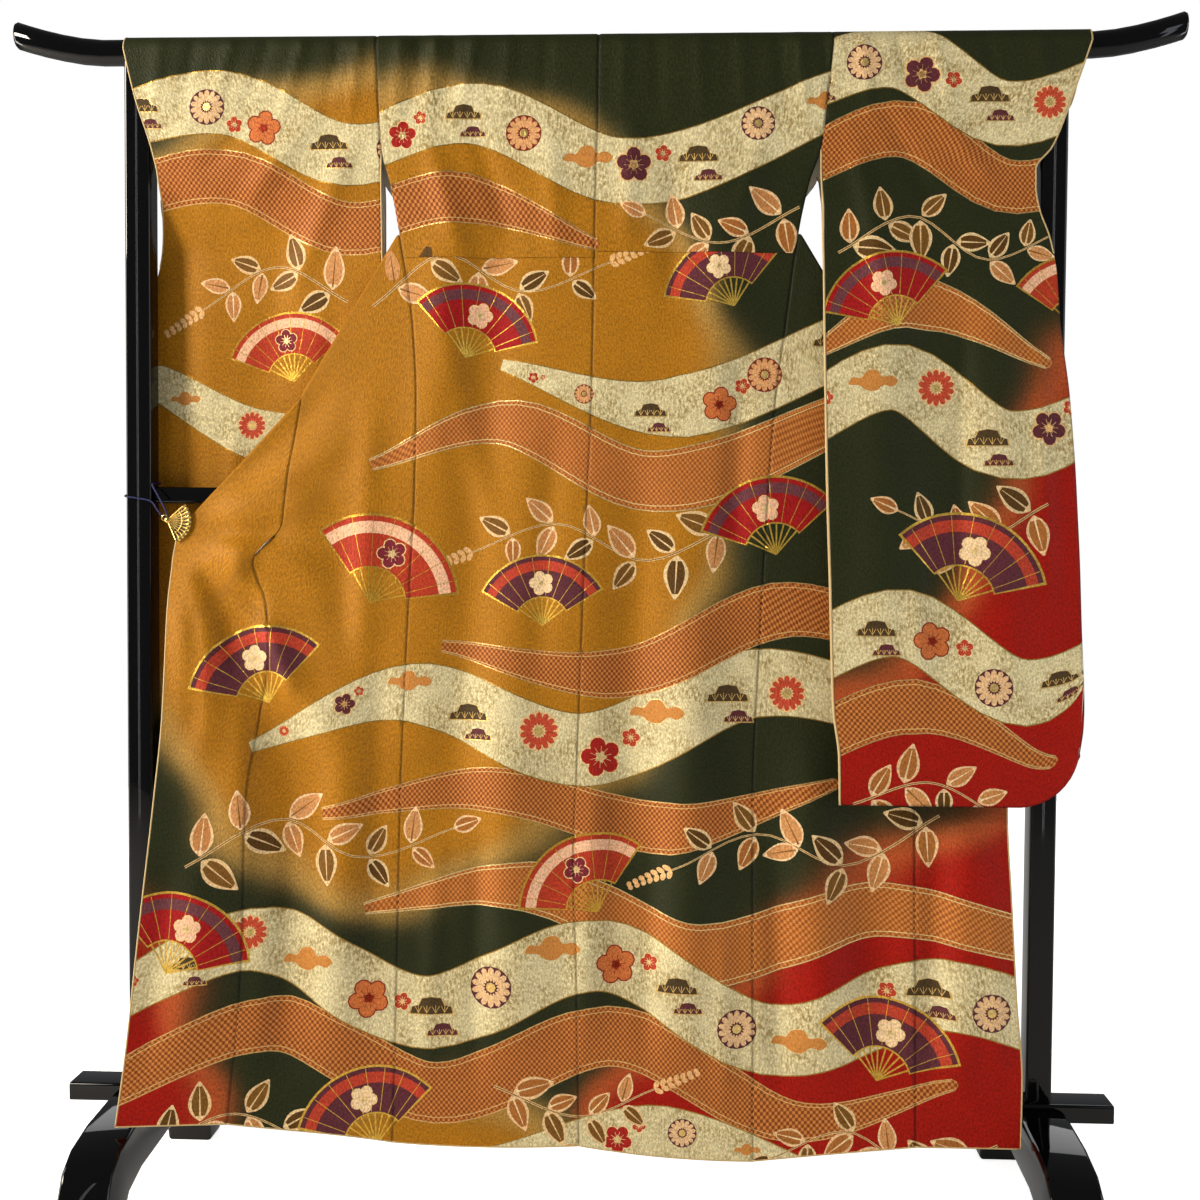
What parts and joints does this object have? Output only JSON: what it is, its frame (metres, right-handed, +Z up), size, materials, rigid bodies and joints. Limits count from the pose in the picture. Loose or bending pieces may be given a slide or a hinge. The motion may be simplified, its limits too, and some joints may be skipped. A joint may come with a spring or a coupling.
{
  "type": "furisode kimono on a lacquered kimono stand",
  "caption": "Long-sleeved silk kimono displayed back to front over a black lacquered stand, sleeves along the top rail, hems spread and held by fan clips.",
  "frame": {"origin": "on the floor, midway between the feet and under the middle of the top rail", "axes": "+X to the right as seen from the garment's patterned back, along the rails; +Y away from that back, towards the collar side; +Z up"},
  "size_m": [1.62, 0.496, 1.6706],
  "materials": {
    "black_lacquer": "glossy black lacquer",
    "dyed_silk_left": "silk crepe, paste-resist dyed, amber ground with painted pattern",
    "dyed_silk_right": "silk crepe, paste-resist dyed, green and red ground with painted pattern",
    "gilt_metal": "bright gilt",
    "dark_blue_cord": "dull twisted silk cord"
  },
  "bodies": {
    "root": {"top_rail": "black_lacquer", "middle_rail": "black_lacquer", "bottom_rail": "black_lacquer", "post_left": "black_lacquer", "post_right": "black_lacquer", "foot_left": "black_lacquer", "foot_right": "black_lacquer", "back_left": "dyed_silk_left", "front_left": "dyed_silk_left", "front_left_upper": "dyed_silk_left", "okumi_left": "dyed_silk_left", "sleeve_left_back": "dyed_silk_left", "sleeve_left_front": "dyed_silk_left", "collar": "dyed_silk_left", "back_right": "dyed_silk_right", "front_right": "dyed_silk_right", "front_right_upper": "dyed_silk_right", "okumi_right": "dyed_silk_right", "sleeve_right_back": "dyed_silk_right", "sleeve_right_front": "dyed_silk_right", "clip_left": "gilt_metal", "clip_right": "gilt_metal", "cord_left": "dark_blue_cord", "cord_right": "dark_blue_cord"}
  },
  "joints": []
}
